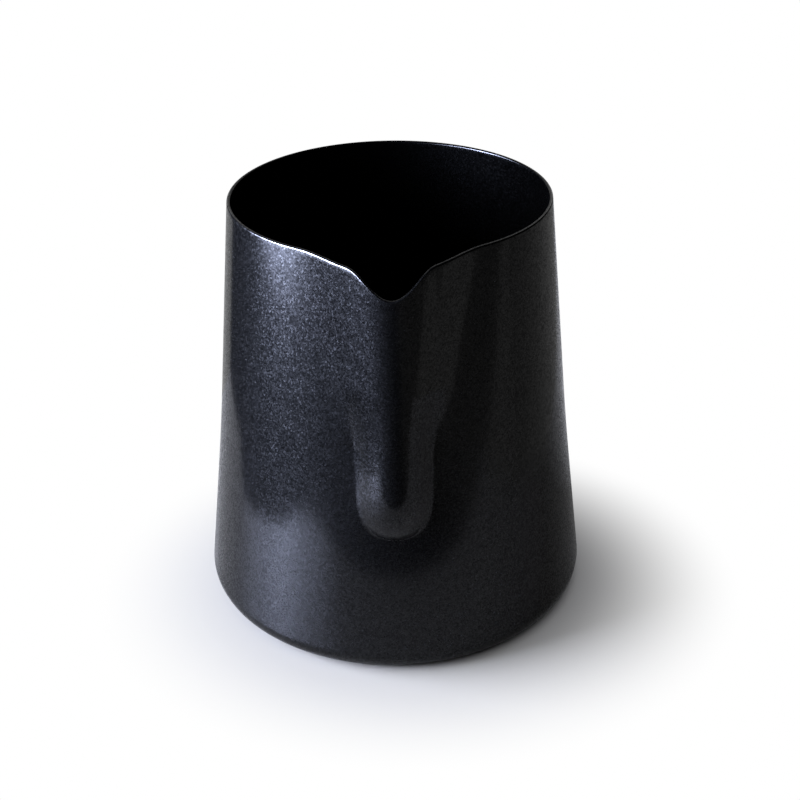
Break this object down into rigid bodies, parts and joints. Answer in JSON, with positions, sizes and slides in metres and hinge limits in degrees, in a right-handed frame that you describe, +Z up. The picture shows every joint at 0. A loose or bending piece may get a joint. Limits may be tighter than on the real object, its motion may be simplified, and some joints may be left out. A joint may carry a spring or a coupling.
{
  "type": "milk frothing pitcher",
  "caption": "Handleless conical milk frothing pitcher in black coated sheet steel, with a pressed pouring spout, a long keel under it and a rounded foot.",
  "frame": {"origin": "middle of the foot, on the surface that the pitcher stands on", "axes": "+Z up through the middle of the mouth, the spout points along -Y"},
  "size_m": [0.0944, 0.0944, 0.101],
  "materials": {
    "black_coat": "satin black coating with fine metallic flake over stainless steel"
  },
  "bodies": {
    "root": {"wall": "black_coat", "base_weld": "black_coat", "base_pan": "black_coat"}
  },
  "joints": []
}
